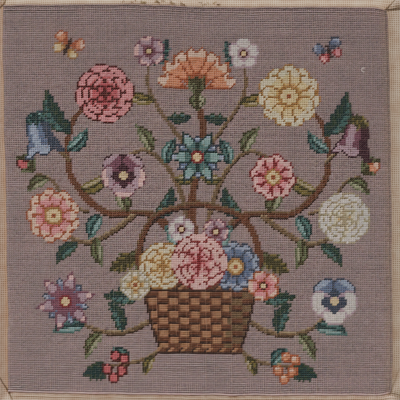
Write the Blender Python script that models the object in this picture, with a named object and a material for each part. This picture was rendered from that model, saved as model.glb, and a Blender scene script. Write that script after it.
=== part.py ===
"""Needlepoint canvas panel, lying flat and face up.

The panel is one cut sheet of mesh canvas. Its middle is worked in wool tent stitch, which makes a
thick, even field, and a bare margin of canvas is left all round. The slanted stitches have pulled
the sheet out of square, its margin rolls up a little beside the field, and at each corner of the
field the canvas stands up in a small flap between two creases.

Units are metres and +Z is up. The underside lies on z = 0, and the origin is under the middle of
the sheet. Run it with blender --background --python part.py, or from the text editor.
"""
import math

import bmesh
import bpy

MM = 0.001
INCH = 25.4 * MM

# Driving sizes
MESH_PER_INCH = 12
STITCHES_WIDE = 180
STITCHES_HIGH = 182
MARGIN = 25 * MM
CANVAS_THICKNESS = 1 * MM
FIELD_THICKNESS = 3 * MM

# Sizes that follow from them
PITCH = INCH / MESH_PER_INCH
FIELD_HALF_WIDTH = STITCHES_WIDE * PITCH / 2
FIELD_HALF_HEIGHT = STITCHES_HIGH * PITCH / 2

# How far the pull of the stitches leans the sheet, as a slope: its top edge goes to the left and
# its right edge goes down
LEAN = 0.0115
DROOP = 0.0088

# How far each side of the field bows outwards
# columns: place along the side from -1 to 1, bow
BOWS = {
    "left": ((-1.0, 0.4 * MM), (-0.6, -0.4 * MM), (0.0, 0.0), (0.45, 1.2 * MM), (0.8, 1.5 * MM),
             (1.0, 1.0 * MM)),
    "right": ((-1.0, 0.0), (-0.6, 0.8 * MM), (-0.2, 1.0 * MM), (0.25, 1.3 * MM), (0.65, 0.8 * MM),
              (1.0, 0.0)),
    "bottom": ((-1.0, 0.0), (-0.6, 0.9 * MM), (0.1, 1.2 * MM), (0.8, 0.3 * MM), (1.0, 0.0)),
    "top": ((-1.0, 0.0), (-0.35, 1.5 * MM), (0.1, -0.9 * MM), (0.8, 0.4 * MM), (1.0, 0.0)),
}

# The roll that the margin makes beside the field
# columns: crest's distance from the field, height, half width
ROLLS = {
    "left": (2.2 * MM, 0.9 * MM, 3.2 * MM),
    "right": (2.2 * MM, 0.9 * MM, 3.2 * MM),
    "bottom": (2.2 * MM, 1.0 * MM, 3.0 * MM),
    "top": (2.2 * MM, 1.6 * MM, 3.0 * MM),
}

# How the cut edge of the margin lifts in slow waves
# columns: height, waves along the side, phase
WAVES = {
    "left": (1.6 * MM, 2.5, 0.4),
    "right": (1.8 * MM, 3.0, 2.1),
    "bottom": (1.4 * MM, 2.0, 4.0),
    "top": (2.2 * MM, 3.5, 1.2),
}

# The flap of canvas that stands up at each corner of the field, between two creases
# columns: direction of the first crease in degrees, direction of the second, height
# The flap reaches its height some way out, and beside a crease the rolls die away
FLAPS = {
    (1, 1): (1.0, 49.0, 2.8 * MM),
    (-1, 1): (69.0, 222.0, 2.4 * MM),
    (-1, -1): (122.0, 294.0, 2.8 * MM),
    (1, -1): (-12.0, 68.0, 2.6 * MM),
}
FLAP_RISE = 12 * MM
CREASE_WIDTH = 5 * MM
ROLL_END = 8 * MM

# The field's face: its last row of stitches turns over the edge, and it is a little uneven
EDGE_TURN = 1.6 * MM
EDGE_DROP = 0.7 * MM
SWELL = 0.15 * MM
SWELL_LENGTH = 90 * MM

# The lines of the sheet's grid: past the field's edge, from the foot of the stitches to the cut
# edge, and the count of cells across the flat of the field
STITCH_FOOT = 0.7 * MM
MARGIN_LINES = (STITCH_FOOT,) + tuple(d * MM for d in (2.2, 4, 6, 8, 10, 12.5, 15, 18, 21.5)) + (MARGIN,)
FIELD_CELLS = 14
SMOOTH_ANGLE = 40

# The colours of the two yarns, linear
CANVAS_COLOR = (0.42, 0.32, 0.22, 1)
WOOL_COLOR = (0.21, 0.15, 0.14, 1)


def between(table, place):
    """Return the value of a table of (place, value) rows, eased smoothly from row to row."""
    for (start, low), (end, high) in zip(table, table[1:]):
        if place <= end:
            share = min(max((place - start) / (end - start), 0.0), 1.0)
            return low + (high - low) * (1 - math.cos(math.pi * share)) / 2
    return table[-1][1]


def margin_share(past_field):
    """Return 1 at the field's edge and 0 at the cut edge."""
    return min(max(1 - past_field / MARGIN, 0.0), 1.0)


def bowed(along, across, half_along, half_across, lower, upper):
    """Return how far a line across the sheet is carried outwards by the bows of two sides."""
    place = min(max(along / half_along, -1.0), 1.0)
    side = BOWS[upper] if across > 0 else BOWS[lower]
    depth = min(abs(across) / half_across, 1.0) * margin_share(abs(across) - half_across)
    return math.copysign(between(side, place) * depth, across)


def on_sheet(a, b):
    """Return the x and y where the point (a, b) of the square canvas lies once it is pulled."""
    x = a - LEAN * b + bowed(b, a, FIELD_HALF_HEIGHT, FIELD_HALF_WIDTH, "left", "right")
    y = b - DROOP * a + bowed(a, b, FIELD_HALF_WIDTH, FIELD_HALF_HEIGHT, "bottom", "top")
    return x, y


def side_lift(side, past_field, past_corner, along):
    """Return how high one side's margin stands: its soft roll and the slow waves of its cut edge."""
    if past_field <= 0:
        return 0.0
    crest, height, half_width = ROLLS[side]
    reach = min(abs(past_field - crest) / half_width, 1.0)
    roll = height * (1 + math.cos(math.pi * reach)) / 2 * min(max(1 - past_corner / ROLL_END, 0.0), 1.0)
    wave_top, count, phase = WAVES[side]
    wave = wave_top * max(math.sin(math.pi * count * along + phase), 0.0)
    return roll + wave * (1 - margin_share(past_field)) ** 2


def off_crease(out_a, out_b, direction):
    """Return 0 on a crease that runs out in a direction, rising to 1 a crease's width away."""
    angle = math.radians(direction)
    forward = out_a * math.cos(angle) + out_b * math.sin(angle)
    aside = out_b * math.cos(angle) - out_a * math.sin(angle)
    distance = abs(aside) if forward > 0 else math.hypot(out_a, out_b)
    return math.sqrt(min(distance / CREASE_WIDTH, 1.0))


def margin_lift(a, b):
    """Return how far the bare canvas is raised off the surface that it lies on."""
    past_a = abs(a) - FIELD_HALF_WIDTH
    past_b = abs(b) - FIELD_HALF_HEIGHT
    if past_a <= 0 and past_b <= 0:
        return 0.0
    corner = (1 if a > 0 else -1, 1 if b > 0 else -1)
    first, second, height = FLAPS[corner]
    out_a, out_b = corner[0] * past_a, corner[1] * past_b
    share = ((math.degrees(math.atan2(out_b, out_a)) - first) % 360) / (second - first)
    if share < 1:
        rise = min(math.hypot(out_a, out_b) / FLAP_RISE, 1.0)
        return height * rise * math.sqrt(math.sin(math.pi * share))
    lift = max(
        side_lift("right" if a > 0 else "left", past_a, past_b, b / FIELD_HALF_HEIGHT),
        side_lift("top" if b > 0 else "bottom", past_b, past_a, a / FIELD_HALF_WIDTH),
    )
    return lift * off_crease(out_a, out_b, first) * off_crease(out_a, out_b, second)


def field_depth(a, b):
    """Return how far a point lies inside the worked field, or less than 0 outside it."""
    return min(FIELD_HALF_WIDTH - abs(a), FIELD_HALF_HEIGHT - abs(b))


def top_height(a, b):
    """Return the height of the sheet's upper face."""
    if field_depth(a, b) < -STITCH_FOOT / 2:
        return CANVAS_THICKNESS + margin_lift(a, b)
    if field_depth(a, b) < EDGE_TURN / 2:
        return FIELD_THICKNESS - SWELL - EDGE_DROP
    swell = SWELL * math.sin(a / SWELL_LENGTH * math.tau) * math.cos(b / SWELL_LENGTH * math.tau)
    return FIELD_THICKNESS - SWELL + swell


def grid_lines(half_field):
    """Return where the grid lines lie across the sheet, from one cut edge to the other."""
    flat = half_field - EDGE_TURN
    field = [flat * (2 * step / FIELD_CELLS - 1) for step in range(FIELD_CELLS + 1)]
    outer = [half_field] + [half_field + line for line in MARGIN_LINES]
    return [-line for line in reversed(outer)] + field + outer


def canvas_sheet():
    """Make the one sheet, as a grid thickened to two faces and then laid in its pulled shape."""
    lines_a = grid_lines(FIELD_HALF_WIDTH)
    lines_b = grid_lines(FIELD_HALF_HEIGHT)
    cells_a = len(lines_a) - 1
    cells_b = len(lines_b) - 1
    bm = bmesh.new()
    bmesh.ops.create_grid(bm, x_segments=cells_a, y_segments=cells_b, size=1)
    bmesh.ops.solidify(bm, geom=bm.faces[:], thickness=CANVAS_THICKNESS)
    middle = sum(vert.co.z for vert in bm.verts) / len(bm.verts)
    worked = set()
    for vert in bm.verts:
        a = lines_a[round((vert.co.x + 1) / 2 * cells_a)]
        b = lines_b[round((vert.co.y + 1) / 2 * cells_b)]
        upper = vert.co.z > middle
        if upper and field_depth(a, b) > -STITCH_FOOT / 2:
            worked.add(vert)
        vert.co = (*on_sheet(a, b), top_height(a, b) if upper else margin_lift(a, b))
    bmesh.ops.recalc_face_normals(bm, faces=bm.faces[:])
    for face in bm.faces:
        face.material_index = 1 if worked.issuperset(face.verts) else 0
        face.smooth = True
    mesh = bpy.data.meshes.new("needlepoint_canvas")
    bm.to_mesh(mesh)
    bm.free()
    mesh.set_sharp_from_angle(angle=math.radians(SMOOTH_ANGLE))
    return bpy.data.objects.new("needlepoint_canvas", mesh)


def yarn_material(name, color, roughness):
    """Return a matt yarn material."""
    material = bpy.data.materials.new(name)
    material.use_nodes = True
    shader = material.node_tree.nodes["Principled BSDF"]
    shader.inputs["Base Color"].default_value = color
    shader.inputs["Roughness"].default_value = roughness
    shader.inputs["Metallic"].default_value = 0.0
    return material


def main():
    for thing in list(bpy.context.scene.objects):
        bpy.data.objects.remove(thing)
    panel = bpy.data.collections.new("needlepoint_canvas_panel")
    bpy.context.scene.collection.children.link(panel)
    sheet = canvas_sheet()
    sheet.data.materials.append(yarn_material("cotton_canvas", CANVAS_COLOR, 0.85))
    sheet.data.materials.append(yarn_material("tapestry_wool", WOOL_COLOR, 0.95))
    panel.objects.link(sheet)


main()
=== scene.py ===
"""Looks of the needlepoint canvas panel: every stitch of wool, and the woven canvas that bears it."""
import math

import bmesh
import bpy
import numpy as np
from mathutils import Matrix, Vector


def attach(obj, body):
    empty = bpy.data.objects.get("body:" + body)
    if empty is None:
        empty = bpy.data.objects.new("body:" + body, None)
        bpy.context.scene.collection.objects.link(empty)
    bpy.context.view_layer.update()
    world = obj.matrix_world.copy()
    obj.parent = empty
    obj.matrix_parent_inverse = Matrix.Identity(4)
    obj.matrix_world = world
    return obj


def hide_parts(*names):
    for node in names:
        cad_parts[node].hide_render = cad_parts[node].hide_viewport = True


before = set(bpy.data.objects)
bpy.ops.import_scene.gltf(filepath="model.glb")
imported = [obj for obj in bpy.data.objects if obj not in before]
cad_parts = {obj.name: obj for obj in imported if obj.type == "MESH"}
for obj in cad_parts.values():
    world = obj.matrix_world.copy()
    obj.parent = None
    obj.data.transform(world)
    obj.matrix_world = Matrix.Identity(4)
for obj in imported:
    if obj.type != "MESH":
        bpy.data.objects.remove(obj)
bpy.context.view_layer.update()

MM = 0.001
INCH = 25.4 * MM
NODE = "needlepoint_canvas"

# The panel's driving sizes, the same as its construction has
MESH_PER_INCH = 12
STITCHES_WIDE = 180
STITCHES_HIGH = 182
MARGIN = 25 * MM
FIELD_THICKNESS = 3 * MM
PITCH = INCH / MESH_PER_INCH
HALF_WIDE = STITCHES_WIDE * PITCH / 2
HALF_HIGH = STITCHES_HIGH * PITCH / 2
LEAN = 0.0115
DROOP = 0.0088

# How far each side of the field bows outwards
# columns: place along the side from -1 to 1, bow
BOWS = {
    "left": ((-1.0, 0.4 * MM), (-0.6, -0.4 * MM), (0.0, 0.0), (0.45, 1.2 * MM), (0.8, 1.5 * MM),
             (1.0, 1.0 * MM)),
    "right": ((-1.0, 0.0), (-0.6, 0.8 * MM), (-0.2, 1.0 * MM), (0.25, 1.3 * MM), (0.65, 0.8 * MM),
              (1.0, 0.0)),
    "bottom": ((-1.0, 0.0), (-0.6, 0.9 * MM), (0.1, 1.2 * MM), (0.8, 0.3 * MM), (1.0, 0.0)),
    "top": ((-1.0, 0.0), (-0.35, 1.5 * MM), (0.1, -0.9 * MM), (0.8, 0.4 * MM), (1.0, 0.0)),
}

# The roll that the margin makes beside the field
# columns: crest's distance from the field, height, half width
ROLLS = {
    "left": (2.2 * MM, 0.9 * MM, 3.2 * MM),
    "right": (2.2 * MM, 0.9 * MM, 3.2 * MM),
    "bottom": (2.2 * MM, 1.0 * MM, 3.0 * MM),
    "top": (2.2 * MM, 1.6 * MM, 3.0 * MM),
}

# How the cut edge of the margin lifts in slow waves
# columns: height, waves along the side, phase in radians
WAVES = {
    "left": (1.6 * MM, 2.5, 0.4),
    "right": (1.8 * MM, 3.0, 2.1),
    "bottom": (1.4 * MM, 2.0, 4.0),
    "top": (2.2 * MM, 3.5, 1.2),
}

# The flap of canvas at each corner of the field, between two creases
# columns: direction of the first crease in degrees, direction of the second, height
FLAPS = {
    (1, 1): (1.0, 49.0, 2.8 * MM),
    (-1, 1): (69.0, 222.0, 2.4 * MM),
    (-1, -1): (122.0, 294.0, 2.8 * MM),
    (1, -1): (-12.0, 68.0, 2.6 * MM),
}
FLAP_RISE = 12 * MM
CREASE_WIDTH = 5 * MM
ROLL_END = 8 * MM

# How the threads wander off their lines, in slow waves across the sheet
# columns: height, length of the wave, its direction in degrees, phase in radians
WANDER = (
    (0.20 * MM, 71 * MM, 82, 0.6),
    (0.16 * MM, 43 * MM, 24, 2.0),
    (0.12 * MM, 26 * MM, 139, 4.1),
)

# How far each corner of the field is drawn in, and how far along the sides that reaches
CORNER_PULLS = {(1, 1): 3.2 * MM, (-1, 1): 0.4 * MM, (-1, -1): 0.3 * MM, (1, -1): 3.4 * MM}
PULL_REACH = 15 * MM

# The canvas in section: it runs through the middle of the worked field and comes down in the margin
FIELD_CANVAS = 1.3 * MM
MARGIN_CANVAS = 0.5 * MM
COME_DOWN = 2.2 * MM
THREAD = 0.86 * MM
THREAD_WAVE = 0.09 * MM
GROUND_SHEET = 0.12 * MM


# The shape of the sheet

def between(table, place):
    """Return a table's value at each place, eased smoothly from row to row."""
    places, values = np.array(table).T
    place = np.clip(place, places[0], places[-1])
    row = np.clip(np.searchsorted(places, place) - 1, 0, len(places) - 2)
    share = (place - places[row]) / (places[row + 1] - places[row])
    return values[row] + (values[row + 1] - values[row]) * (1 - np.cos(np.pi * share)) / 2


def margin_share(past_field):
    """Return 1 at the field's edge and 0 at the cut edge."""
    return np.clip(1 - past_field / MARGIN, 0, 1)


def bowed(along, across, half_along, half_across, lower, upper):
    """Return how far a line across the sheet is carried by the bows of two sides."""
    place = np.clip(along / half_along, -1, 1)
    bow = np.where(across > 0, between(BOWS[upper], place), -between(BOWS[lower], place))
    return bow * np.clip(np.abs(across) / half_across, 0, 1) * margin_share(np.abs(across) - half_across)


def on_sheet(a, b):
    """Return the x and y where points of the square canvas lie once it is pulled."""
    stray_a, stray_b = 0, 0
    for height, length, degrees, phase in WANDER:
        way = (a * math.cos(math.radians(degrees)) + b * math.sin(math.radians(degrees))) / length
        stray_a = stray_a + height * np.sin(math.tau * way + phase)
        stray_b = stray_b + height * np.cos(math.tau * way + 2 * phase)
    a, b = a + stray_a, b + stray_b
    for (side_a, side_b), pull in CORNER_PULLS.items():
        far = np.hypot(a - side_a * HALF_WIDE, b - side_b * HALF_HIGH)
        drawn = pull * np.clip(1 - far / PULL_REACH, 0, 1) ** 2 / math.sqrt(2)
        a, b = a - side_a * drawn, b - side_b * drawn
    x = a - LEAN * b + bowed(b, a, HALF_HIGH, HALF_WIDE, "left", "right")
    y = b - DROOP * a + bowed(a, b, HALF_WIDE, HALF_HIGH, "bottom", "top")
    return x, y


def side_lift(side, past_field, past_corner, along):
    """Return how high one side's margin stands: its soft roll and the waves of its cut edge."""
    crest, height, half_width = ROLLS[side]
    reach = np.clip(np.abs(past_field - crest) / half_width, 0, 1)
    roll = height * (1 + np.cos(np.pi * reach)) / 2 * np.clip(1 - past_corner / ROLL_END, 0, 1)
    wave_top, count, phase = WAVES[side]
    wave = wave_top * np.maximum(np.sin(np.pi * count * along + phase), 0)
    return np.where(past_field > 0, roll + wave * (1 - margin_share(past_field)) ** 2, 0)


def off_crease(out_a, out_b, direction):
    """Return 0 on a crease that runs out in a direction, rising to 1 a crease's width away."""
    angle = np.radians(direction)
    forward = out_a * np.cos(angle) + out_b * np.sin(angle)
    aside = out_b * np.cos(angle) - out_a * np.sin(angle)
    distance = np.where(forward > 0, np.abs(aside), np.hypot(out_a, out_b))
    return np.sqrt(np.clip(distance / CREASE_WIDTH, 0, 1))


def margin_lift(a, b):
    """Return how far the bare canvas is raised off the surface that it lies on."""
    a, b = np.broadcast_arrays(np.asarray(a, float), np.asarray(b, float))
    lift = np.zeros(a.shape)
    for (side_a, side_b), (first, second, height) in FLAPS.items():
        here = (np.where(a > 0, 1, -1) == side_a) & (np.where(b > 0, 1, -1) == side_b)
        past_a, past_b = np.abs(a) - HALF_WIDE, np.abs(b) - HALF_HIGH
        out_a, out_b = side_a * past_a, side_b * past_b
        share = ((np.degrees(np.arctan2(out_b, out_a)) - first) % 360) / (second - first)
        rise = np.clip(np.hypot(out_a, out_b) / FLAP_RISE, 0, 1)
        flap = height * rise * np.sqrt(np.sin(np.pi * np.clip(share, 0, 1)))
        sides = np.maximum(
            side_lift("right" if side_a > 0 else "left", past_a, past_b, b / HALF_HIGH),
            side_lift("top" if side_b > 0 else "bottom", past_b, past_a, a / HALF_WIDE))
        sides = sides * off_crease(out_a, out_b, first) * off_crease(out_a, out_b, second)
        bare = (past_a > 0) | (past_b > 0)
        lift = np.where(here & bare, np.where(share < 1, flap, sides), lift)
    return lift


def field_depth(a, b):
    """Return how far points lie inside the worked field, or less than 0 outside it."""
    return np.minimum(HALF_WIDE - np.abs(a), HALF_HIGH - np.abs(b))


def canvas_height(a, b):
    """Return the height of the middle of the canvas."""
    share = np.clip(1 + field_depth(a, b) / COME_DOWN, 0, 1)
    eased = share * share * (3 - 2 * share)
    return MARGIN_CANVAS + margin_lift(a, b) + (FIELD_CANVAS - MARGIN_CANVAS) * eased


# The yarns, and their colours as sRGB hex codes

YARNS = {
    "mauve": "7f6c69",
    "straw": "bea774", "gold": "af8a51", "ochre": "8b6538",
    "maroon": "471916", "garnet": "6f2226", "rose": "a24e52", "pink": "bb7577", "blush": "c7988e",
    "night_teal": "1e312e", "teal": "435e58", "sea": "718b84",
    "bottle": "2e3b28", "leaf": "565d40", "sage": "848568", "moss": "695e30", "dusk_green": "38341c",
    "slate": "383c48", "denim": "586075", "sky": "848b9b",
    "aubergine": "3b1e25", "plum": "69404c", "lilac": "957980",
    "rust": "87482e", "apricot": "b37353", "peach": "c2a288",
    "cream": "bdb190", "oat": "8e8164", "ivory": "b9afa4",
    "bark": "331f17", "chestnut": "5b3825", "fawn": "896448",
    "twig_dark": "3b2a1a", "twig": "624f37", "twig_light": "826f53",
}
YARN_NAMES = list(YARNS)


# The counted design: a flower basket, its branches the same on both sides

class Chart:
    """The counted design, with one yarn for each stitch, measured in stitches from the middle."""

    def __init__(self, wide, high):
        across = np.arange(wide) - (wide - 1) / 2
        up = np.arange(high) - (high - 1) / 2
        self.u, self.v = np.meshgrid(across, up)
        self.yarn = np.zeros((high, wide), dtype=int)

    def work(self, inside, *parts):
        """Work parts of a shape, one over the last. parts: (where, yarn) rows."""
        for where, name in parts:
            self.yarn[inside & where] = YARN_NAMES.index(name)

    def around(self, heart, degrees):
        """Return each stitch's distance along and across a direction from a point."""
        c, s = math.cos(math.radians(degrees)), math.sin(math.radians(degrees))
        du, dv = self.u - heart[0], self.v - heart[1]
        return du * c + dv * s, dv * c - du * s


# An outline's width in stitches, and the shares of a petal where its shade ends and its tip starts
RIM = 0.9
SHADE_END = 0.42
TIP_START = 0.72

# A leaf's teeth and vein, and the ribs of one that is wider than this, in stitches
TOOTH_DEPTH = 0.26
TOOTH_SLOPE = 0.55
VEIN = 0.55
RIBBED_WIDTH = 7
RIB_GAP = 3.6
RIB_SLOPE = 0.9

# The light and dark sides of a stem start at this share of its width
STEM_SIDE = 0.22


def swell(share, peak):
    """Return 0 at both ends and 1 at the peak's share of the way, smoothly."""
    power = math.log(0.5) / math.log(peak)
    return np.sin(math.pi * np.clip(share, 0, 1) ** power)


def petal(chart, heart, degrees, start, length, width, tones, peak=0.6, blunt=0.6, notch=0.0):
    """Work one petal in outline, shade, body and tip tones."""
    outline, shade, body, tip = tones
    along, across = chart.around(heart, degrees)
    share = (along - start) / length
    half = width / 2 * swell(share, peak) ** blunt
    end = 1 - notch * np.exp(-(across / (0.18 * width)) ** 2)
    inset = half - np.abs(across)
    inside = (share > 0) & (share < end) & (inset > 0)
    rim = (inset < RIM) | ((end - share) * length < RIM)
    chart.work(inside, (True, shade), (share >= SHADE_END, body), (share >= TIP_START, tip), (rim, outline))


def disc(chart, heart, radius, name):
    """Work a round spot."""
    along, across = chart.around(heart, 0)
    chart.work(along ** 2 + across ** 2 < radius ** 2, (True, name))


def eye(chart, heart, rings):
    """Work a round middle, ring inside ring. rings: (radius, yarn) rows."""
    for radius, name in rings:
        disc(chart, heart, radius, name)


def bloom(chart, heart, count, start, length, width, tones, turn=0, **form):
    """Work a ring of petals."""
    for step in range(count):
        petal(chart, heart, turn + step * 360 / count, start, length, width, tones, **form)


def leaf(chart, base, degrees, length, width, tones, bend=0.0, teeth=0, lit=1):
    """Work a leaf with a middle vein, lighter on its lit half."""
    dark, body, light = tones
    along, across = chart.around(base, degrees)
    share = along / length
    across = across - bend * np.sin(math.pi * np.clip(share, 0, 1)) * length * 0.25
    side = np.abs(across)
    half = width / 2 * swell(share, 0.42) ** 0.8
    if teeth:
        tooth = np.abs(np.sin(math.pi * teeth * share - TOOTH_SLOPE * side))
        half = half * (1 - TOOTH_DEPTH + TOOTH_DEPTH * tooth)
    inset = half - side
    inside = (share > 0) & (share < 1) & (inset > 0)
    chart.work(inside, (True, body), ((across * lit > RIM) & (inset > RIM), light),
               ((across * lit < -0.4) & (inset < 1.1), dark), ((side < VEIN) & (share < 0.86), dark))
    if width > RIBBED_WIDTH:
        rib = np.abs((along - side * RIB_SLOPE) / RIB_GAP % 1 - 0.5) < 0.14
        chart.work(inside, (rib & (inset > 0.6) & (share < 0.8), dark))


def smooth_run(points):
    """Return a smooth run of points through the given ones, 14 to each."""
    pts = np.array([points[0], *points, points[-1]], dtype=float)
    run = []
    for a, b, c, d in zip(pts, pts[1:], pts[2:], pts[3:]):
        for t in np.linspace(0, 1, 14, endpoint=False):
            run.append(0.5 * (2 * b + (c - a) * t + (2 * a - 5 * b + 4 * c - d) * t ** 2
                              + (3 * b - a - 3 * c + d) * t ** 3))
    return np.array(run + [pts[-1]])


def stem(chart, points, width, tones, taper=1.0):
    """Work a stem along a smooth run, light along its upper side and dark below."""
    dark, body, light = tones
    run = smooth_run(points)
    near = np.full(chart.u.shape, 1e9)
    lean = np.zeros(chart.u.shape)
    reach = np.zeros(chart.u.shape)
    for step, (start, end) in enumerate(zip(run, run[1:])):
        dx, dy = end - start
        size = math.hypot(dx, dy) + 1e-9
        pu, pv = chart.u - start[0], chart.v - start[1]
        t = np.clip((pu * dx + pv * dy) / size ** 2, 0, 1)
        qu, qv = pu - t * dx, pv - t * dy
        far = np.hypot(qu, qv)
        closer = far < near
        near = np.where(closer, far, near)
        lean = np.where(closer, qv - 0.4 * qu, lean)
        reach = np.where(closer, step / len(run), reach)
    half = width / 2 * (1 + (taper - 1) * reach)
    edge = STEM_SIDE * width
    chart.work(near < half, (True, body), (lean > edge, light), (lean < -edge, dark))


# Leaf and stem tones, from dark to light
TWIG = ("twig_dark", "twig", "twig_light")
WOOD = ("bark", "chestnut", "twig")
TEAL_LEAF = ("night_teal", "teal", "sea")
OLIVE_LEAF = ("dusk_green", "leaf", "sage")
MOSS_LEAF = ("dusk_green", "moss", "oat")
DEEP_LEAF = ("night_teal", "bottle", "teal")

# Petal tones: outline, shade, body, tip
YELLOW = ("ochre", "gold", "straw", "cream")
CREAM = ("oat", "gold", "cream", "ivory")
ROSE = ("maroon", "garnet", "rose", "pink")
PINK = ("garnet", "rose", "pink", "blush")
BLUE = ("slate", "slate", "denim", "sky")
PLUM = ("aubergine", "aubergine", "plum", "lilac")
LILAC = ("plum", "plum", "lilac", "blush")
ORANGE = ("rust", "rust", "apricot", "peach")
TEAL = ("night_teal", "teal", "sea", "sky")
CORAL = ("rust", "rose", "pink", "peach")
WHITE = ("lilac", "lilac", "ivory", "ivory")
RED = ("maroon", "garnet", "rose", "rose")


def daisy(chart, heart, size, tones, turn=0, count=10):
    """Work an open flower, one ring of petals showing between those of another."""
    ring = 360 / count
    bloom(chart, heart, count, 1, size - 1, size * 0.62, tones, turn=turn + ring / 2, peak=0.66)
    bloom(chart, heart, count, 1, size * 0.8, size * 0.5, tones, turn=turn, peak=0.66)
    eye(chart, heart, ((size * 0.34, "ochre"), (size * 0.24, "straw"), (size * 0.1, "rust")))


def peony(chart, heart, size, tones, turn=0):
    """Work a full flower of four rings of petals, each ring over the last."""
    for share, count in ((1.0, 8), (0.78, 7), (0.56, 6), (0.36, 4)):
        bloom(chart, heart, count, 0, size * share, size * share * 0.82, tones,
              turn=turn + 90 * share, peak=0.7, blunt=0.5)
    disc(chart, heart, size * 0.1, tones[0])


def starflower(chart, heart, size, tones, turn=0):
    """Work a flower of pointed petals, small ones between the large."""
    bloom(chart, heart, 6, 1, size * 0.78, size * 0.36, BLUE, turn=turn + 30, peak=0.45, blunt=0.9)
    bloom(chart, heart, 6, 1, size, size * 0.44, tones, turn=turn, peak=0.42, blunt=0.9)
    eye(chart, heart, ((size * 0.24, "garnet"), (size * 0.14, "straw")))


def violet(chart, heart, size, tones, turn=0):
    """Work a small flower of five round petals."""
    bloom(chart, heart, 5, 0, size, size * 0.95, tones, turn=turn + 90, peak=0.66, blunt=0.5)
    eye(chart, heart, ((size * 0.28, "maroon"), (size * 0.17, "straw")))


def carnation(chart, base, degrees, size, tones, cup):
    """Work a fan of frilled petals that opens out of a green cup."""
    for turn in (-62, 62, -38, 38, -14, 14, 0):
        petal(chart, base, degrees + turn, 0, size * (1 - 0.0018 * abs(turn)), size * 0.46, tones,
              peak=0.78, blunt=0.8, notch=0.16)
    leaf(chart, base, degrees + 180, size * 0.36, size * 0.34, cup)
    for turn in (-26, 0, 26):
        leaf(chart, base, degrees + turn, size * 0.38, size * 0.2, cup)


def bellflower(chart, top, degrees, size, tones, cup):
    """Work a bell that hangs along a direction, with a lip of pointed lobes."""
    outline, shade, body, tip = tones
    along, across = chart.around(top, degrees)
    share = along / size
    flare = 0.35 * np.clip(share - 0.6, 0, 1) ** 1.2
    half = size * (0.16 + 0.22 * np.clip(share, 0, 1) ** 0.7 + flare)
    end = 0.86 + 0.14 * np.abs(np.cos(across / size * math.pi * 2.6))
    inset = half - np.abs(across)
    inside = (share > 0) & (share < end) & (inset > 0)
    rim = (inset < RIM) | ((end - share) * size < 1)
    fold = (np.abs(across + size * 0.1) < size * 0.08) & (share < 0.8)
    lip = (share > 0.74) & ~rim & (across < half * 0.35)
    chart.work(inside, (True, body), (fold, tip), (across > half * 0.35, shade), (rim, outline), (lip, tip))
    for turn in (-40, 0, 40):
        leaf(chart, top, degrees + turn, size * 0.34, size * 0.2, cup)


def pansy(chart, heart, size, upper, lower, mask):
    """Work a five-petalled face flower, two tones, with a dark mask and a bright eye."""
    for turn in (128, 52):
        petal(chart, heart, turn, 0, size, size * 0.98, upper, peak=0.62, blunt=0.5)
    for turn in (188, -8, 270):
        petal(chart, heart, turn, 0, size * 0.92, size * 0.98, lower, peak=0.62, blunt=0.5)
    for turn in (188, -8, 270):
        petal(chart, heart, turn, 0, size * 0.5, size * 0.42, (mask,) * 4, peak=0.6)
    eye(chart, heart, ((size * 0.15, "straw"),))


def bud(chart, base, degrees, size, tones, cup):
    """Work a closed bud in its cup."""
    petal(chart, base, degrees, 0, size, size * 0.6, tones, peak=0.55)
    for turn in (-24, 24):
        leaf(chart, base, degrees + turn, size * 0.55, size * 0.3, cup)


def berries(chart, heart, tones):
    """Work five round berries, each with a bright fleck."""
    for du, dv in ((-3.6, -2.2), (3.4, -3.0), (0.2, 3.8), (-0.4, -6.2), (4.6, 2.4)):
        disc(chart, (heart[0] + du, heart[1] + dv), 2.7, tones[0])
        disc(chart, (heart[0] + du, heart[1] + dv), 1.8, tones[2])
        disc(chart, (heart[0] + du - 0.6, heart[1] + dv + 0.7), 0.8, tones[3])


def butterfly(chart, heart, size, fore, hind, degrees):
    """Work a small butterfly with its wings spread."""
    for side in (-1, 1):
        petal(chart, heart, degrees + side * 56, 0.5, size, size * 0.72, fore, peak=0.68)
        petal(chart, heart, degrees + side * 122, 0.5, size * 0.78, size * 0.62, hind, peak=0.66)
    along, across = chart.around(heart, degrees)
    chart.work((np.abs(across) < 0.8) & (np.abs(along) < size * 0.5), (True, "bark"))


def sprig(chart, base, degrees, length, tones):
    """Work a straight sprig of three pairs of small leaves and one at its tip."""
    c, s = math.cos(math.radians(degrees)), math.sin(math.radians(degrees))
    tip = (base[0] + length * c, base[1] + length * s)
    stem(chart, (base, tip), 1.3, (tones[0],) * 3)
    for step in range(3):
        share = (step + 0.6) / 3
        at = (base[0] + length * c * share, base[1] + length * s * share)
        for side in (-1, 1):
            leaf(chart, at, degrees + side * 48, 6 * (1.1 - 0.45 * share), 3, tones, lit=side)
    leaf(chart, tip, degrees, 4.8, 3, tones)


# The basket's plaits, in stitches
PLAIT_WIDE = 5
PLAIT_HIGH = 3


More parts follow.
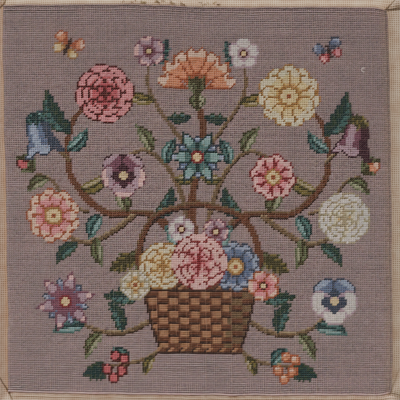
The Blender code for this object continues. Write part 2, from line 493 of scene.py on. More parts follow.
def basket(chart, top, bottom, rim_half, base_half):
    """Work a woven basket that narrows to its base, with a rolled rim and foot."""
    u, v = chart.u, chart.v
    share = np.clip((v - bottom) / (top - bottom), 0, 1)
    half = base_half + (rim_half - base_half) * share ** 0.75
    inside = (v >= bottom) & (v < top) & (np.abs(u) < half)
    over = (np.floor(u / PLAIT_WIDE) + np.floor((v - bottom) / PLAIT_HIGH)) % 2 == 0
    inset = half - np.abs(u)
    chart.work(inside, (True, "chestnut"), (over, "fawn"), (over & (u % PLAIT_WIDE < 1), "chestnut"),
               (~over & ((v - bottom) % PLAIT_HIGH < 1), "bark"), (inset < 1.2, "bark"),
               (over & (u > half * 0.55) & (inset > 1.2), "twig"))
    rolls = ((top - 1, top + 3, rim_half + 2.5), (bottom - 2, bottom + 1, base_half + 1.5))
    for low, high, reach in rolls:
        band = (v >= low) & (v < high) & (np.abs(u) < reach)
        twist = (u - v - 2) % 6
        chart.work(band, (True, "chestnut"), (twist < 2, "fawn"), (twist > 4.5, "bark"),
                   (v < low + 1, "bark"))


# The right half's branches, which the left half has too
# columns: points, width, tones, taper
BRANCHES = (
    (((4, -30), (20, -8), (44, -6), (60, 12), (58, 36), (46, 46)), 4.0, WOOD, 0.55),
    (((30, -8), (50, -20), (64, -16), (70, -8)), 3.0, TWIG, 0.6),
    (((2, -20), (10, 8), (22, 22), (32, 20), (35, 12)), 2.6, TWIG, 0.7),
    (((60, 18), (70, 28), (76, 38)), 2.2, TWIG, 0.7),
    (((14, -50), (34, -62), (52, -60), (62, -50)), 3.0, TWIG, 0.6),
    (((12, -62), (24, -74), (42, -78)), 2.6, TWIG, 0.6),
    (((1, 20), (12, 34), (22, 50), (22, 66)), 2.4, TWIG, 0.6),
    (((52, -6), (62, -2), (68, 8), (76, 12)), 2.0, TWIG, 0.6),
)

# The right half's leaves, which the left half has too
# columns: base, direction in degrees, length, width, tones, bend, teeth
LEAVES = (
    ((20, -9), 118, 17, 8, DEEP_LEAF, 0.5, 4),
    ((33, -6), 84, 15, 7, OLIVE_LEAF, -0.4, 0),
    ((46, -7), -66, 13, 7, TEAL_LEAF, 0.3, 0),
    ((55, 4), 150, 15, 7, MOSS_LEAF, 0.4, 0),
    ((61, 22), 132, 15, 7, TEAL_LEAF, 0.4, 4),
    ((59, 30), 62, 24, 10, DEEP_LEAF, -0.5, 5),
    ((48, -18), -100, 14, 6, OLIVE_LEAF, 0.4, 0),
    ((57, -20), -48, 15, 7, DEEP_LEAF, 0.4, 4),
    ((11, 10), 178, 10, 5, MOSS_LEAF, 0.4, 0),
    ((15, 17), 112, 13, 6, TEAL_LEAF, -0.3, 0),
    ((21, 22), 58, 15, 7, OLIVE_LEAF, 0.4, 4),
    ((36, -62), 64, 16, 8, DEEP_LEAF, 0.4, 4),
    ((46, -62), -58, 15, 7, OLIVE_LEAF, 0.3, 4),
    ((54, -59), -12, 16, 7, TEAL_LEAF, 0.3, 0),
    ((22, -73), -68, 10, 5, MOSS_LEAF, 0.3, 0),
    ((33, -77), 44, 12, 6, TEAL_LEAF, 0.3, 0),
    ((14, 38), 170, 12, 6, DEEP_LEAF, 0.4, 3),
    ((20, 46), 20, 14, 6, MOSS_LEAF, -0.4, 0),
    ((70, 10), -34, 12, 6, OLIVE_LEAF, 0.4, 0),
    ((26, -42), -8, 20, 9, DEEP_LEAF, -0.4, 4),
    ((22, -34), 28, 18, 8, OLIVE_LEAF, 0.4, 3),
    ((9, -24), 62, 14, 7, TEAL_LEAF, 0.3, 0),
)

# The right half's sprigs, which the left half has too
# columns: base, direction in degrees, length, tones
SPRIGS = (
    ((76, 13), 38, 7, OLIVE_LEAF),
    ((20, 62), 116, 10, TEAL_LEAF),
    ((30, -26), -34, 10, MOSS_LEAF),
    ((42, -79), -14, 9, DEEP_LEAF),
)

# The blossoms, in the order in which they are worked
# columns: kind of flower, its place and its own measures
BLOSSOMS = (
    (violet, (-8, -14), 6.5, WHITE, 10),
    (violet, (8, -15), 6.5, LILAC, 40),
    (peony, (-17, -31), 11.5, YELLOW, 15),
    (daisy, (17, -31), 12, BLUE, 5),
    (peony, (0, -29), 13.5, PINK, 0),
    (daisy, (-30, -40), 7.5, CREAM, 0, 8),
    (violet, (30, -40), 7.5, CORAL, 20),
    (starflower, (0, 20), 13, TEAL, 0),
    (carnation, (0, 50), 90, 23, ORANGE, OLIVE_LEAF),
    (peony, (-43, 49), 14, ROSE, 10),
    (daisy, (43, 49), 15, YELLOW, 8, 11),
    (bellflower, (-76, 40), -76, 21, BLUE, TEAL_LEAF),
    (bellflower, (76, 40), -104, 21, PLUM, MOSS_LEAF),
    (daisy, (-68, -8), 13, CORAL, 0, 9),
    (peony, (68, -8), 12.5, CREAM, 20),
    (pansy, (-35, 11), 11.5, PLUM, LILAC, "aubergine"),
    (daisy, (35, 11), 11, PINK, 12, 8),
    (starflower, (-63, -48), 13.5, LILAC, 15),
    (pansy, (63, -47), 12, BLUE, WHITE, "slate"),
    (violet, (-22, 69), 7.5, LILAC, 15),
    (violet, (22, 69), 7.5, WHITE, 0),
    (bud, (-77, 13), 150, 9, RED, OLIVE_LEAF),
    (bud, (77, 13), 30, 9, ORANGE, OLIVE_LEAF),
    (berries, (-40, -77), RED),
    (berries, (40, -77), ORANGE),
    (butterfly, (-60, 71), 8, ORANGE, YELLOW, 64),
    (butterfly, (62, 70), 7.5, BLUE, PINK, 112),
)


def design():
    """Work the whole chart: branches, leaves, the basket with its handle, then the blossoms."""
    chart = Chart(STITCHES_WIDE, STITCHES_HIGH)
    for side in (-1, 1):
        for points, width, tones, taper in BRANCHES:
            stem(chart, [(side * u, v) for u, v in points], width, tones, taper)
    stem(chart, [(0, -30), (-3, 0), (3, 26), (0, 48)], 4.0, WOOD, 0.7)
    for side in (-1, 1):
        for (u, v), degrees, length, width, tones, bend, teeth in LEAVES:
            way = degrees if side > 0 else 180 - degrees
            leaf(chart, (side * u, v), way, length, width, tones, side * bend, teeth, -side)
        for (u, v), degrees, length, tones in SPRIGS:
            way = degrees if side > 0 else 180 - degrees
            sprig(chart, (side * u, v), way, length, tones)
    for side in (-1, 1):
        stem(chart, [(side * 26, -40), (side * 28, -24), (side * 20, -8), (0, -2)], 3.2, WOOD)
    basket(chart, -42, -70, 27, 19)
    for kind, *measures in BLOSSOMS:
        kind(chart, *measures)
    return chart


# Meshes made of many like shapes

def linear(hex_color):
    """Return a colour's linear value from its sRGB hex code."""
    codes = np.array([int(hex_color[at:at + 2], 16) for at in (0, 2, 4)]) / 255
    return np.where(codes <= 0.04045, codes / 12.92, ((codes + 0.055) / 1.055) ** 2.4)


def grain(rings, along, aside, low, high, dive):
    """Model one stitch as a grain of few faces lying along x, its tips dipping to a depth."""
    bm = bmesh.new()
    bmesh.ops.create_uvsphere(bm, u_segments=4, v_segments=rings, radius=1)
    bmesh.ops.rotate(bm, verts=bm.verts[:], cent=(0, 0, 0), matrix=Matrix.Rotation(math.pi / 2, 3, "Y"))
    bmesh.ops.rotate(bm, verts=bm.verts[:], cent=(0, 0, 0), matrix=Matrix.Rotation(math.pi / 4, 3, "X"))
    widest = max(abs(vert.co.y) for vert in bm.verts)
    for vert in bm.verts:
        tip = abs(vert.co.x) > 0.99
        height = dive if tip else high if vert.co.z > 0 else low
        crown = 1.0 if height == low else CROWN_SHARE
        fuller = 1.0 if tip else SHOULDER
        vert.co = (vert.co.x * fuller * along, vert.co.y / widest * aside * crown, height)
    bmesh.ops.recalc_face_normals(bm, faces=bm.faces[:])
    points = np.array([vert.co[:] for vert in bm.verts])
    faces = [[vert.index for vert in face.verts] for face in bm.faces]
    bm.free()
    return points, faces


def placed(name, data):
    """Return a new object of the scene that shows this data."""
    made = bpy.data.objects.new(name, data)
    bpy.context.scene.collection.objects.link(made)
    return made


def points_of(mesh):
    """Return a mesh's points, one a row."""
    points = np.empty(len(mesh.vertices) * 3, dtype=np.float32)
    mesh.vertices.foreach_get("co", points)
    return points.reshape(-1, 3).astype(float)


def tint(mesh, name, tones):
    """Give each point of a mesh its own colour, for the materials to read by this name."""
    layer = mesh.color_attributes.new(name, "FLOAT_COLOR", "POINT")
    colors = np.column_stack((tones, np.ones(len(tones))))
    layer.data.foreach_set("color", colors.astype(np.float32).ravel())


def threads_along(name, runs, facets, twist="MINIMUM"):
    """Return a mesh of threads, one along each run of points. runs: (points, radius) rows."""
    curve = bpy.data.curves.new(name, "CURVE")
    curve.dimensions = "3D"
    curve.twist_mode = twist
    curve.bevel_depth = 1
    curve.bevel_resolution = facets
    curve.use_fill_caps = True
    for points, radius in runs:
        spline = curve.splines.new("POLY")
        spline.points.add(len(points) - 1)
        spline.points.foreach_set("co", np.column_stack((points, np.ones(len(points)))).ravel())
        spline.points.foreach_set("radius", np.full(len(points), radius))
    drawn = placed(name, curve)
    view = bpy.context.evaluated_depsgraph_get()
    mesh = bpy.data.meshes.new_from_object(drawn.evaluated_get(view))
    bpy.data.objects.remove(drawn)
    mesh.name = name
    mesh.shade_smooth()
    return mesh


def joined(name, points, faces, shape_count, tones, ply):
    """Return one object that joins many copies of a prototype's faces, given all their points."""
    corners = np.concatenate([np.array(face) for face in faces])
    sizes = np.array([len(face) for face in faces])
    step = len(points) // shape_count
    offsets = np.arange(shape_count)[:, None] * step
    all_corners = (corners[None, :] + offsets).ravel()
    starts = np.concatenate(([0], np.cumsum(np.tile(sizes, shape_count))[:-1]))
    mesh = bpy.data.meshes.new(name)
    mesh.vertices.add(len(points))
    mesh.vertices.foreach_set("co", points.astype(np.float32).ravel())
    mesh.loops.add(len(all_corners))
    mesh.loops.foreach_set("vertex_index", all_corners.astype(np.int32))
    mesh.polygons.add(len(starts))
    mesh.polygons.foreach_set("loop_start", starts.astype(np.int32))
    mesh.update(calc_edges=True)
    mesh.shade_smooth()
    low, high = points[:, :2].min(axis=0), points[:, :2].max(axis=0)
    flat = (points[all_corners, :2] - low) / (high - low)
    mesh.uv_layers.new(name="OFBake").data.foreach_set("uv", flat.astype(np.float32).ravel())
    lain = np.tile(ply[corners], (shape_count, 1))
    mesh.uv_layers.new(name="ply").data.foreach_set("uv", lain.astype(np.float32).ravel())
    tint(mesh, "yarn", tones)
    return placed(name, mesh)


# The wool

# A worked stitch lies flatter than the diagonal of its mesh, so that the rows stand apart
STITCH_SLANT = math.radians(36)
STITCH_LENGTH = PITCH * math.sqrt(2) * 1.1
STITCH_WIDTH = 1.86 * MM

# A stitch in section: its crown as a share of its width, how full its shoulders are, and the heights
# of its crest, its tips and its seat over the middle of the canvas
CROWN_SHARE = 0.55
SHOULDER = 1.2
CREST = 1.55 * MM
TIP = 0.25 * MM
SEAT = 0.3 * MM

# A float on the back runs two meshes along for one up, and stands clear of what the panel lies on
BACK_RUN = 2
BACK_WIDTH = 1.25 * MM
BACK_CLEAR = 0.12 * MM
BACK_TIP = -0.35 * MM

# How unlike the stitches are, in degrees for their turn, and how far they, their rows and columns slip
LENGTH_SPREAD = 0.03
WIDTH_SPREAD = 0.06
HEIGHT_SPREAD = 0.09
TURN_SPREAD = 6.5
SLIP_SPREAD = 0.08 * MM
ROW_SPREAD = 0.07 * MM
COLUMN_SPREAD = 0.11 * MM

# How unlike the tones are of lengths of yarn, of stitches and of one stitch's red, green and blue, and
# how many stitches a length of yarn works
RUN_SPREAD = 0.04
TONE_SPREAD = 0.07
HUE_SPREAD = 0.028
RUN_STITCHES = (18, 90)

# The yarn is painted darker on the lower side of each stitch, as painted shade where it goes down beneath
# the next row, and paler on its upper side, as painted light, stronger than real shade so that the rows
# show at the photograph's size.
# The change runs up each stitch, but turned a little, so that the columns show too
PAINTED_SHADE_TONE = 0.19
PAINTED_LIGHT_TONE = 1.71
PAINTED_SHADE_TURN = math.radians(14)

# The rolled edges of the field, whose tones paint the light and shade of the roll
# columns: rows or columns in from the edge, how far they stand up, their tone, mostly of painted light and
# shade
EDGE_ROWS = {
    "top": ((0, 0.05 * MM, (0.84, 0.80, 0.77)), (1, -0.10 * MM, (0.80, 0.78, 0.78)),
            (2, 0.05 * MM, (1.08, 1.06, 1.06)), (3, 0.0, (0.92, 0.91, 0.91))),
    "bottom": ((0, 0.05 * MM, (1.40, 1.28, 1.24)), (1, 0.05 * MM, (1.00, 0.98, 0.98))),
    "left": ((0, -0.05 * MM, (1.16, 1.14, 1.12)), (1, 0.0, (1.08, 1.07, 1.07))),
    "right": ((0, -0.15 * MM, (0.98, 0.97, 0.86)), (1, 0.0, (1.0, 1.0, 0.88)),
              (2, 0.0, (1.02, 1.0, 0.90)), (3, 0.0, (1.0, 1.0, 0.94))),
}
# The last row at the bottom has no row beneath which its yarn could go down, so it gets no painted shade
# and is painted paler all over, as a painted highlight
LAST_ROW_PAINTED_LIGHT = 1.4

# The wool is paler at the bottom than at the top
TONE_BOTTOM = 1.05
TONE_TOP = 0.92

# The worker's hand, the one source of all that is random
HAND = np.random.default_rng(12)
ROW_DRIFT = HAND.normal(0, ROW_SPREAD, STITCHES_HIGH)
COLUMN_DRIFT = HAND.normal(0, COLUMN_SPREAD, STITCHES_WIDE)


def edge_line(side, rows_in):
    """Return the rows and columns of one line of stitches along a side."""
    if side in ("top", "bottom"):
        return (STITCHES_HIGH - 1 - rows_in if side == "top" else rows_in, slice(None))
    return (slice(None), STITCHES_WIDE - 1 - rows_in if side == "right" else rows_in)


def stitch_tones(chart):
    """Return each stitch's linear colour: its yarn, with the changes of tone along each length."""
    palette = np.array([linear(YARNS[name]) for name in YARN_NAMES])
    tones = palette[chart.yarn]
    rows, columns = chart.yarn.shape
    run_tone = np.ones((rows, columns, 1))
    for row in range(rows):
        column = -HAND.integers(0, 40)
        while column < columns:
            length = HAND.integers(*RUN_STITCHES)
            run_tone[row, max(column, 0):column + length] = 1 + HAND.normal(0, RUN_SPREAD)
            column += length
    own_tone = 1 + HAND.normal(0, TONE_SPREAD, (rows, columns, 1))
    own_tone = own_tone + HAND.normal(0, HUE_SPREAD, (rows, columns, 3))
    tone_shift = np.linspace(TONE_BOTTOM, TONE_TOP, rows)[:, None, None]
    tones = tones * run_tone * own_tone * tone_shift
    # The edge rows' tones paint the light and shade of the rolled edges
    for side, lines in EDGE_ROWS.items():
        for rows_in, _, tone in lines:
            tones[edge_line(side, rows_in)] *= tone
    return tones


def stitch_rise():
    """Return how far each stitch stands above the even face of the field."""
    rise = np.zeros((STITCHES_HIGH, STITCHES_WIDE))
    for side, lines in EDGE_ROWS.items():
        for rows_in, height, _ in lines:
            rise[edge_line(side, rows_in)] += height
    return rise


def stitch_block(name, rows, columns, tones, front):
    """Work one block of the field, as tent stitches on the front or as their floats on the back."""
    row, column = np.meshgrid(np.arange(*rows), np.arange(*columns), indexing="ij")
    row, column = row.ravel(), column.ravel()
    count = len(row)
    if front:
        slant = STITCH_SLANT
        proto, faces = grain(3, STITCH_LENGTH / 2, STITCH_WIDTH / 2, SEAT, CREST, TIP)
        at_a = (column + 0.5) * PITCH - HALF_WIDE
        lift = stitch_rise()[row, column]
    else:
        slant = math.atan2(1, BACK_RUN)
        reach = math.hypot(1, BACK_RUN) * PITCH / 2
        proto, faces = grain(2, reach, BACK_WIDTH / 2, -SEAT, BACK_CLEAR - FIELD_CANVAS, BACK_TIP)
        at_a = np.clip(column * PITCH - HALF_WIDE, PITCH - HALF_WIDE, HALF_WIDE - PITCH)
        lift = np.zeros(count)
    at_a = at_a + COLUMN_DRIFT[column]
    at_b = (row + 0.5) * PITCH - HALF_HIGH + ROW_DRIFT[row]
    long = 1 + HAND.normal(0, LENGTH_SPREAD, count)
    wide = 1 + HAND.normal(0, WIDTH_SPREAD, count)
    tall = 1 + HAND.normal(0, HEIGHT_SPREAD if front else 0.0, count)
    turn = slant + np.radians(HAND.normal(0, TURN_SPREAD, count))
    slip = HAND.normal(0, SLIP_SPREAD, (2, count))
    along = proto[None, :, 0] * long[:, None]
    aside = proto[None, :, 1] * wide[:, None]
    out_a = along * np.cos(turn)[:, None] - aside * np.sin(turn)[:, None]
    out_b = along * np.sin(turn)[:, None] + aside * np.cos(turn)[:, None]
    x, y = on_sheet((at_a + slip[0])[:, None] + out_a, (at_b + slip[1])[:, None] + out_b)
    z = FIELD_CANVAS + proto[None, :, 2] * tall[:, None] + lift[:, None]
    points = np.column_stack((x.ravel(), y.ravel(), z.ravel()))
    # Painted shade and light: the colour runs up each stitch from painted shade to painted light, and the
    # last row is painted pale all over
    upward = out_b * math.cos(PAINTED_SHADE_TURN) + out_a * math.sin(PAINTED_SHADE_TURN)
    height = (upward - upward.min(axis=1, keepdims=True)) / np.ptp(upward, axis=1)[:, None]
    painted_shade = np.where(row == 0, LAST_ROW_PAINTED_LIGHT, PAINTED_SHADE_TONE)[:, None]
    painted_light = np.where(row == 0, LAST_ROW_PAINTED_LIGHT, PAINTED_LIGHT_TONE)[:, None]
    shaded = painted_shade + (painted_light - painted_shade) * height if front else np.ones(height.shape)
    yarn = tones[row, column][:, None, :] * shaded[:, :, None]
    girth = np.arctan2(proto[:, 2] - (SEAT + CREST) / 2, proto[:, 1]) * STITCH_WIDTH / 2
    ply = np.column_stack((proto[:, 0], girth)) / MM
    return joined(name, points, faces, count, yarn.reshape(-1, 3), ply)


# The canvas

# The ground has one line for each stitch near the corners, and longer cells between them
CORNER_LINES = 22
MIDDLE_CELLS = 20

# How unevenly the threads lie, and how far short of the margin they are cut, in millimetres
THREAD_SPREAD = 0.05 * MM
CUT_SHORT = (-0.2, 0.7)

# How the bare canvas is toned along each side, partly its own yellowing and partly painted light and shade,
# such as a painted shade beside the roll at the top and a painted highlight beside the bottom edge
# columns: its tone beside the field, its tone further out, where the first ends, where the second starts
SIDE_TONES_AND_PAINTED_LIGHT = {
    "left": ((0.69, 0.52, 0.43), (0.62, 0.53, 0.53), 1.5 * MM, 4.2 * MM),
    "right": ((0.66, 0.60, 0.59), (0.73, 0.69, 0.70), 1.5 * MM, 6.0 * MM),
    "bottom": ((1.60, 1.42, 1.52), (1.02, 0.92, 0.92), 1.0 * MM, 3.2 * MM),
    "top": ((0.88, 0.78, 0.72), (0.99, 0.92, 0.85), 1.5 * MM, 4.2 * MM),
}
SIDE_TONE_BLEND = 6 * MM


def paint_side_tones(mesh):
    """Tint the bare canvas by the side that it lies on, in its colour and in painted light and shade, one
    side passing softly into the next.
    """
    x, y, _ = points_of(mesh).T
    a, b = x + LEAN * y, y + DROOP * x
    past_a, past_b = np.abs(a) - HALF_WIDE, np.abs(b) - HALF_HIGH
    past = np.maximum(past_a, past_b)[:, None]
    tones = {}
    for side, (near, far, near_end, far_start) in SIDE_TONES_AND_PAINTED_LIGHT.items():
        out = np.clip((past - near_end) / (far_start - near_end), 0, 1)
        tones[side] = np.array(near) + (np.array(far) - near) * out
    beside = np.where(a[:, None] > 0, tones["right"], tones["left"])
    above = np.where(b[:, None] > 0, tones["top"], tones["bottom"])
    share = np.clip(0.5 + (past_b - past_a) / SIDE_TONE_BLEND, 0, 1)[:, None]
    tint(mesh, "aged", beside + (above - beside) * share)


def canvas_sheet():
    """Make the ground of the canvas, a thin sheet on the folds of the solid; its darker colour in the holes
    between the bare threads is painted shade.
    """
    lines = []
    for half in (HALF_WIDE, HALF_HIGH):
        near = half - (np.arange(CORNER_LINES) + 0.5) * PITCH
        middle = np.linspace(-near[-1], near[-1], MIDDLE_CELLS + 1)
        past = half + np.concatenate(((np.arange(int(MARGIN / PITCH)) + 0.5) * PITCH, [MARGIN]))
        lines.append(np.concatenate((-past[::-1], -near, middle[1:-1], near[::-1], past)))
    bm = bmesh.new()
    bmesh.ops.create_grid(bm, x_segments=len(lines[0]) - 1, y_segments=len(lines[1]) - 1, size=1)
    bmesh.ops.solidify(bm, geom=bm.faces[:], thickness=GROUND_SHEET)
    bmesh.ops.recalc_face_normals(bm, faces=bm.faces[:])
    mesh = bpy.data.meshes.new("canvas_sheet")
    bm.to_mesh(mesh)
    bm.free()
    points = points_of(mesh)
    a = lines[0][np.rint((points[:, 0] + 1) / 2 * (len(lines[0]) - 1)).astype(int)]
    b = lines[1][np.rint((points[:, 1] + 1) / 2 * (len(lines[1]) - 1)).astype(int)]
    x, y = on_sheet(a, b)
    upper = points[:, 2] > points[:, 2].mean()
    z = canvas_height(a, b) + np.where(upper, GROUND_SHEET / 2, -GROUND_SHEET / 2)
    mesh.vertices.foreach_set("co", np.column_stack((x, y, z)).astype(np.float32).ravel())
    mesh.update()
    mesh.shade_smooth()
    paint_side_tones(mesh)
    return placed("canvas_sheet", mesh)


def woven_threads(name, lengthwise):
    """Weave the bare threads of the margin one way, over and under, down to beneath the stitches."""
    half_across, half_along = (HALF_WIDE, HALF_HIGH) if lengthwise else (HALF_HIGH, HALF_WIDE)
    stitches = STITCHES_WIDE if lengthwise else STITCHES_HIGH
    crossings = STITCHES_HIGH if lengthwise else STITCHES_WIDE
    bare = int(MARGIN / PITCH)
    threads = []
    for thread in range(-bare, stitches + bare):
        across = (thread + 0.5) * PITCH - half_across
        if 0 < thread < stitches - 1:
            runs = ((-bare, 2), (crossings - 2, crossings + bare))
        else:
            runs = ((-bare, crossings + bare),)
        for first, last in runs:
            knots = np.arange(first, last)
            along = (knots + 0.5) * PITCH - half_along
            ends = half_along + MARGIN - HAND.uniform(*CUT_SHORT, 2) * MM
            knots = np.concatenate((knots[:1] - 1, knots, knots[-1:] + 1))
            low = -ends[0] if first == -bare else along[0] - PITCH
            high = ends[1] if last == crossings + bare else along[-1] + PITCH
            along = np.concatenate(([low], along, [high]))
            over = np.where((knots + thread) % 2 == 0, 1, -1) * (1 if lengthwise else -1)
            place_across = across + HAND.normal(0, THREAD_SPREAD, len(along))
            a, b = (place_across, along) if lengthwise else (along, place_across)
            z = canvas_height(a, b) + over * THREAD_WAVE
            threads.append((np.column_stack((*on_sheet(a, b), z)), THREAD / 2))
    mesh = threads_along(name, threads, 0, "Z_UP")
    paint_side_tones(mesh)
    return placed(name, mesh)


# Loose ends of yarn

# The bits that cling to the roll along the top: where along it, how far past the field and how long in
# millimetres, and how much they turn and curl
BIT_COUNT = 26
BIT_WIDTH = 0.7 * MM
BIT_SPAN = (-76 * MM, 24 * MM)
BIT_PAST = (1.4, 4.2)
BIT_LENGTH = (1.4, 4.2)
BIT_TURN = 0.5
BIT_YARNS = ("twig_dark", "bark", "moss", "twig")
BIT_KNOTS = 5

# A loop that stands out of the field, at the upper right
# columns: place along and up the sheet, radius, first and last direction in degrees
LOOP = (164.5 * MM, 130.5 * MM, 1.9 * MM, 60, 300)
LOOP_WIDTH = 0.9 * MM
LOOP_KNOTS = 10


def loose_ends():
    """Lay the short bits of yarn on the roll, and one loop of pale yarn on the field."""
    strands = []
    for _ in range(BIT_COUNT):
        length = HAND.uniform(*BIT_LENGTH) * MM
        way = HAND.normal(0, BIT_TURN)
        curl = HAND.normal(0, BIT_TURN)
        run = np.linspace(-0.5, 0.5, BIT_KNOTS) * length
        a = HAND.uniform(*BIT_SPAN) + run * np.cos(way + curl * run / length)
        b = HALF_HIGH + HAND.uniform(*BIT_PAST) * MM + run * np.sin(way + curl * run / length)
        z = canvas_height(a, b) + (THREAD + BIT_WIDTH) / 2 + THREAD_WAVE
        strands.append((a, b, z, BIT_WIDTH, BIT_YARNS[HAND.integers(len(BIT_YARNS))]))
    middle_a, middle_b, radius, first, last = LOOP
    way = np.radians(np.linspace(first, last, LOOP_KNOTS))
    a, b = middle_a + radius * np.cos(way), middle_b + radius * np.sin(way)
    arch = np.sin(np.linspace(0, math.pi, LOOP_KNOTS))
    z = FIELD_CANVAS + CREST + LOOP_WIDTH * (0.2 + 0.7 * arch)
    strands.append((a, b, z, LOOP_WIDTH, "ivory"))
    runs = []
    knot_yarns = []
    for a, b, z, width, yarn in strands:
        runs.append((np.column_stack((*on_sheet(a, b), z)), width / 2))
        knot_yarns += [linear(YARNS[yarn])] * len(a)
    mesh = threads_along("loose_ends", runs, 1)
    knots = np.concatenate([points for points, _ in runs])
    far = np.linalg.norm(points_of(mesh)[:, None] - knots[None], axis=2)
    tint(mesh, "yarn", np.array(knot_yarns)[far.argmin(axis=1)])
    return placed("loose_ends", mesh)


# Materials

def add(tree, kind, values=None, links=None, **settings):
    """Add a node with its settings, its input values and the links that feed it."""
    made = tree.nodes.new("ShaderNode" + kind)
    for name, value in settings.items():
        setattr(made, name, value)
    for name, value in (values or {}).items():
        made.inputs[name].default_value = value
    for name, source in (links or {}).items():
        tree.links.new(source, made.inputs[name])
    return made


def noise(tree, place, size, detail, roughness=0.5):
    """Return a node of noise whose patches are about this size."""
    values = {"Scale": 1 / size, "Detail": detail, "Roughness": roughness}
    return add(tree, "TexNoise", values, {"Vector": place})


def reckon(tree, operation, *sockets):
    """Return what one step of arithmetic on some sockets gives."""
    step = add(tree, "Math", None, dict(enumerate(sockets)), operation=operation)
    return step.outputs["Value"]


def product(tree, first, second):
    """Return one colour multiplied by another."""
    colors = {"Color1": first, "Color2": second}
    return add(tree, "MixRGB", {"Fac": 1}, colors, blend_type="MULTIPLY").outputs["Color"]


def ramp(tree, source, *stops):
    """Return a colour that runs between two stops. stops: (place, linear colour) rows."""
    made = add(tree, "ValToRGB", None, {"Fac": source})
    for element, (position, color) in zip(made.color_ramp.elements, stops):
        element.position = position
        element.color = (*color, 1)
    return made.outputs["Color"]


def blank(name, roughness, sheen, shine):
    """Start a material on its plain shader."""
    material = bpy.data.materials.new(name)
    material.use_nodes = True
    tree = material.node_tree
    shader = tree.nodes["Principled BSDF"]
    shader.inputs["Roughness"].default_value = roughness
    shader.inputs["Sheen Weight"].default_value = sheen
    shader.inputs["Sheen Roughness"].default_value = 0.5
    shader.inputs["Specular IOR Level"].default_value = shine
    return material, tree, shader


# The wool's patches of dye and its hairs, by size, and the turn of its plies
DYE_PATCH = 34 * MM
HAIR = 0.3 * MM
PLY_TURN = math.radians(38)


def tapestry_wool():
    """Plied and dyed tapestry wool: matt and a little hairy, each strand twisted, the dye uneven."""
    material, tree, shader = blank("tapestry_wool", 0.9, 0.15, 0.25)
    place = add(tree, "TexCoord").outputs["Object"]
    # The yarn attribute holds each stitch's colour with its painted shade and light
    yarn_and_painted_light = add(tree, "Attribute", attribute_name="yarn").outputs["Color"]
    patches = noise(tree, place, DYE_PATCH, 3, 0.6)
    tone_shift = ramp(tree, patches.outputs["Fac"], (0.3, (0.91, 0.93, 0.945)), (0.7, (1.08, 1.035, 1.035)))
    tree.links.new(product(tree, yarn_and_painted_light, tone_shift), shader.inputs["Base Color"])
    lay = add(tree, "UVMap", uv_map="ply").outputs["UV"]
    twist = add(tree, "Mapping", {"Rotation": (0, 0, PLY_TURN), "Scale": (1.1, 1.1, 1)},
                {"Vector": lay})
    plies = add(tree, "TexWave", {"Scale": 0.5, "Distortion": 0.6, "Detail": 1},
                {"Vector": twist.outputs["Vector"]})
    hairs = noise(tree, place, HAIR, 2)
    ply_bump = add(tree, "Bump", {"Strength": 0.55, "Distance": 0.12 * MM},
                   {"Height": plies.outputs["Fac"]})
    hair_bump = add(tree, "Bump", {"Strength": 0.4, "Distance": 0.05 * MM},
                    {"Height": hairs.outputs["Fac"], "Normal": ply_bump.outputs["Normal"]})
    tree.links.new(hair_bump.outputs["Normal"], shader.inputs["Normal"])
    return material


# The painted shadow along a crease: its half width and tone, how far it strays, and in waves of which
# length
CREASE_SHADOW_WIDTH = 1.1 * MM
CREASE_SHADOW_TONE = (0.20, 0.17, 0.13, 1)
CREASE_STRAY = 1.6 * MM
STRAY_LENGTH = 9 * MM

# A crease's painted shadow is this many times as wide at the corner of the field, and narrows over this
# reach
PINCH = 2.0
PINCH_REACH = 8 * MM

# How light the painted shadows of the two creases at each corner are, from 0 for the darkest to 1 for none
CREASE_UNSHADOWED = {(1, 1): (0.0, 0.0), (-1, 1): (0.0, 0.0), (-1, -1): (0.0, 0.1), (1, -1): (0.5, 0.6)}


def corner_creases(tree, place):
    """Return 0 along the creases that run out from the corners, where their shadow is painted, rising to 1
    beside them.
    """
    stray = noise(tree, place, STRAY_LENGTH, 1)
    centred = add(tree, "VectorMath", {1: (0.5, 0.5, 0.5)}, {0: stray.outputs["Color"]},
                  operation="SUBTRACT")
    sized = add(tree, "VectorMath", {"Scale": CREASE_STRAY}, {0: centred.outputs["Vector"]},
                operation="SCALE")
    moved = add(tree, "VectorMath", None, {0: place, 1: sized.outputs["Vector"]}, operation="ADD")
    creases = []
    for (side_a, side_b), (first, second, _) in FLAPS.items():
        x, y = on_sheet(np.array(side_a * HALF_WIDE), np.array(side_b * HALF_HIGH))
        for degrees, least in zip((first, second), CREASE_UNSHADOWED[side_a, side_b]):
            lie = {"Location": (x, y, 0), "Rotation": (0, 0, math.radians(degrees))}
            turned = add(tree, "Mapping", lie, {"Vector": moved.outputs["Vector"]}, vector_type="TEXTURE")
            parts = add(tree, "SeparateXYZ", None, {"Vector": turned.outputs["Vector"]}).outputs
            spread = add(tree, "MapRange", {"From Max": PINCH_REACH, "To Min": PINCH, "To Max": 1},
                         {"Value": parts["X"]})
            aside = reckon(tree, "ABSOLUTE", parts["Y"])
            across = reckon(tree, "DIVIDE", aside, spread.outputs["Result"])
            soft = add(tree, "MapRange", {"From Max": CREASE_SHADOW_WIDTH, "To Min": least}, {"Value": across},
                       interpolation_type="SMOOTHSTEP")
            behind = add(tree, "Math", {1: -CREASE_SHADOW_WIDTH}, {0: parts["X"]}, operation="LESS_THAN")
            creases.append(reckon(tree, "MAXIMUM", soft.outputs["Result"], behind.outputs["Value"]))
    unshadowed = creases[0]
    for crease in creases[1:]:
        unshadowed = reckon(tree, "MINIMUM", unshadowed, crease)
    return unshadowed


# The canvas's yellowed patches and its fibres, by size
SIZE_PATCH = 14 * MM
FIBRE = 0.35 * MM


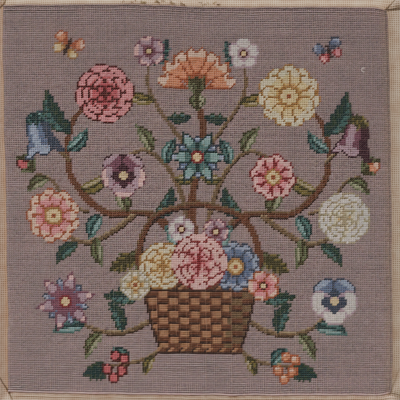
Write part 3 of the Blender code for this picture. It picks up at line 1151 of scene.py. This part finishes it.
def cotton_canvas(name, pale, shade):
    """Sized cotton canvas: stiff spun thread with a dull size on it, yellowed in soft patches."""
    material, tree, shader = blank(name, 0.78, 0.05, 0.35)
    place = add(tree, "TexCoord").outputs["Object"]
    patches = noise(tree, place, SIZE_PATCH, 5, 0.75)
    yellowed = ramp(tree, patches.outputs["Fac"], (0.32, linear(shade)), (0.66, linear(pale)))
    # The side tones hold painted light and shade as well as the canvas's own colour
    aged = add(tree, "Attribute", attribute_name="aged").outputs["Color"]
    # The shadows in the corner creases are painted into the colour
    crease_shadowed = add(tree, "MixRGB", {"Color1": CREASE_SHADOW_TONE, "Color2": (1, 1, 1, 1)},
                  {"Fac": corner_creases(tree, place)})
    toned_and_shaded = product(tree, product(tree, yellowed, aged), crease_shadowed.outputs["Color"])
    tree.links.new(toned_and_shaded, shader.inputs["Base Color"])
    fibres = noise(tree, place, FIBRE, 2)
    bump = add(tree, "Bump", {"Strength": 0.4, "Distance": 0.06 * MM}, {"Height": fibres.outputs["Fac"]})
    tree.links.new(bump.outputs["Normal"], shader.inputs["Normal"])
    return material


# The floor, the light and the camera

FLOOR_HALF = 8.0
ROOM_LIGHT = 0.25

# The lamps, each turned towards the panel
# columns: name, place, size, power
LAMPS = (
    ("key", (-1.2, 3.9, 2.5), 1.7, 560.0),
    ("fill", (0.6, -1.2, 1.6), 1.4, 3.0),
)


def studio():
    """Lay a pale floor and light it softly, the key from beyond the top edge."""
    bm = bmesh.new()
    bmesh.ops.create_grid(bm, x_segments=1, y_segments=1, size=FLOOR_HALF)
    mesh = bpy.data.meshes.new("floor")
    bm.to_mesh(mesh)
    bm.free()
    floor = placed("floor", mesh)
    paint, _, shader = blank("pale_matt_floor", 0.9, 0.0, 0.2)
    shader.inputs["Base Color"].default_value = (*linear("d8d5cf"), 1)
    mesh.materials.append(paint)
    for name, place, size, power in LAMPS:
        lamp = bpy.data.lights.new(name, "AREA")
        lamp.size = size
        lamp.energy = power
        holder = placed(name, lamp)
        holder.location = place
        holder.rotation_euler = Vector(place).to_track_quat("Z", "Y").to_euler()
    world = bpy.data.worlds.new("soft_room")
    world.use_nodes = True
    room = world.node_tree.nodes["Background"]
    room.inputs["Color"].default_value = (1, 0.98, 0.95, 1)
    room.inputs["Strength"].default_value = ROOM_LIGHT
    bpy.context.scene.world = world


# What the photograph takes in: its width at the height of the field, and its middle, beside the panel's
PHOTO_WIDTH = 396.8 * MM
PHOTO_SHIFT = 1.9 * MM
CAMERA_HEIGHT = 1.7
SENSOR = 36.0


def camera():
    """Look straight down on the panel, as close in as the photograph is."""
    lens = bpy.data.cameras.new("camera")
    lens.sensor_width = SENSOR
    lens.lens = SENSOR * (CAMERA_HEIGHT - FIELD_THICKNESS) / PHOTO_WIDTH
    eye = placed("camera", lens)
    eye.location = (PHOTO_SHIFT, 0, CAMERA_HEIGHT)
    bpy.context.scene.camera = eye


def main():
    """Make every piece, and say what it stands for."""
    chart = design()
    tones = stitch_tones(chart)
    wool = tapestry_wool()
    half_rows, half_columns = STITCHES_HIGH // 2, STITCHES_WIDE // 2
    halves = {"lower": (0, half_rows), "upper": (half_rows, STITCHES_HIGH)}
    sides = {"left": (0, half_columns), "right": (half_columns, STITCHES_WIDE)}
    stitches = []
    for height, rows in halves.items():
        for side, columns in sides.items():
            for kind, front in (("tent_stitches", True), ("back_floats", False)):
                name = f"{kind}_{height}_{side}"
                stitches.append(stitch_block(name, rows, columns, tones, front))
    stitches.append(loose_ends())
    for piece in stitches:
        piece.data.materials.append(wool)
    sheet = canvas_sheet()
    # The ground's darker colour paints the shade seen through the holes of the bare canvas
    sheet.data.materials.append(cotton_canvas("sized_cotton_ground", "8f7a5e", "7e6650"))
    threads = [woven_threads("warp_threads", True), woven_threads("weft_threads", False)]
    thread_cotton = cotton_canvas("sized_cotton_thread", "d3c2a6", "bea283")
    for piece in threads:
        piece.data.materials.append(thread_cotton)
    for piece in (sheet, *threads, *stitches):
        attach(piece, "root")
        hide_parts(NODE)
    studio()
    camera()


main()
